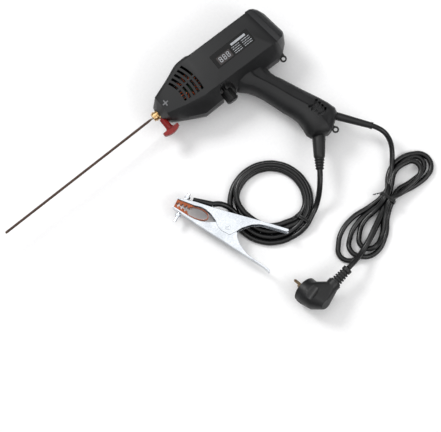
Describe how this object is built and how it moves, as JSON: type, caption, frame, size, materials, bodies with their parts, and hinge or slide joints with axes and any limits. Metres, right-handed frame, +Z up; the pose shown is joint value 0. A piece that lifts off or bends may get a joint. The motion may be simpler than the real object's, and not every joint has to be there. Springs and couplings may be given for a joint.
{
  "type": "hand-held arc welding gun",
  "caption": "Hand-held stick welding gun with brass electrode chuck, wing screw, current knob, vented housing, mains cord with plug, and sprung ground clamp on a coiled cable.",
  "frame": {"origin": "on the floor under the middle of the box round the gun, the electrode and the ground clamp, without the cords and the plug", "axes": "+Z up with the gun lying on its right side, -X the way the electrode points, +Y the top of the gun"},
  "size_m": [0.573, 0.4263, 0.0807],
  "materials": {
    "housing": "fine matt texture",
    "cap": "fine matt texture",
    "black_plastic": "satin",
    "label": "satin film",
    "window": "glossy",
    "light_print": "matt",
    "brass": "turned",
    "steel": "bright",
    "red": "satin",
    "core": "drawn",
    "coating": "matt",
    "board": "satin",
    "heatsink": "extruded",
    "capacitor": "glossy",
    "ferrite": "matt",
    "copper": "bright",
    "rubber": "satin",
    "cord": "satin",
    "zinc": "bright zinc"
  },
  "bodies": {
    "gun": {"left_housing": "housing", "right_housing": "housing", "nose_cap": "black_plastic", "rear_cap": "cap", "label_plate": "label", "display_window": "window", "display_digits": "light_print", "polarity_mark": "light_print", "chuck": "brass", "potentiometer": "steel", "dust_filter": "black_plastic", "fan_frame": "black_plastic", "power_board": "board", "heatsink": "heatsink", "capacitors": "capacitor", "choke_core": "ferrite", "choke_winding": "copper", "display_board": "board", "bus_bar": "copper", "housing_screws": "steel", "rear_strap_eye": "black_plastic", "butt_strap_eye": "black_plastic", "ground_boot": "rubber", "mains_sleeve": "rubber", "mains_cord": "cord", "mains_hank": "cord", "hank_tie": "black_plastic", "plug_cord": "cord", "plug_body": "rubber", "plug_relief": "rubber", "plug_pins": "steel", "plug_earth_clips": "steel", "ground_cable": "cord", "ground_coil": "cord", "coil_tie": "black_plastic", "clamp_lead": "cord", "upper_arm": "zinc", "pivot_rivet": "zinc", "clamp_spring": "steel", "upper_jaw": "copper", "copper_shunt": "copper", "upper_bolt": "zinc", "cable_lug": "zinc", "lug_sleeve": "rubber"},
    "screw_travel": {"pressure_tip": "steel"},
    "screw": {"clamp_screw": "red"},
    "electrode": {"electrode_core": "core", "electrode_coating": "coating"},
    "knob": {"current_knob": "black_plastic"},
    "rotor": {"fan_rotor": "black_plastic"},
    "clamp_arm": {"lower_arm": "zinc", "spring_leg": "steel", "lower_jaw": "copper", "lower_bolt": "zinc"}
  },
  "joints": [
    {"name": "screw_slide", "type": "slide", "parent": "gun", "child": "screw_travel", "axis": [0, -1, 0], "range_m": [0, 0.0015]},
    {"name": "screw_turn", "type": "hinge", "parent": "screw_travel", "child": "screw", "pos_m": [0.03462, 0.10825, 0.04], "axis": [0, -1, 0], "range_deg": [0, 540]},
    {"name": "electrode_slide", "type": "slide", "parent": "gun", "child": "electrode", "axis": [-1, 0, 0], "range_m": [0, 0.018]},
    {"name": "knob_turn", "type": "hinge", "parent": "gun", "child": "knob", "pos_m": [0.13612, 0.07825, 0.04], "axis": [0, -1, 0], "range_deg": [-135, 135]},
    {"name": "fan_spin", "type": "hinge", "parent": "gun", "child": "rotor", "pos_m": [0.21032, 0.12425, 0.04], "axis": [1, 0, 0], "continuous": true},
    {"name": "clamp_open", "type": "hinge", "parent": "gun", "child": "clamp_arm", "pos_m": [0.00882, -0.07325, 0.0203], "axis": [0, 0, 1], "range_deg": [0, 20], "stiffness_Nm_per_rad": 1.2, "springref_deg": -45.84, "deforming": ["copper_shunt"]}
  ],
  "couplings": [
    {"joint": "screw_slide", "follows": "screw_turn", "m_per_rad": 0.00015915}
  ]
}
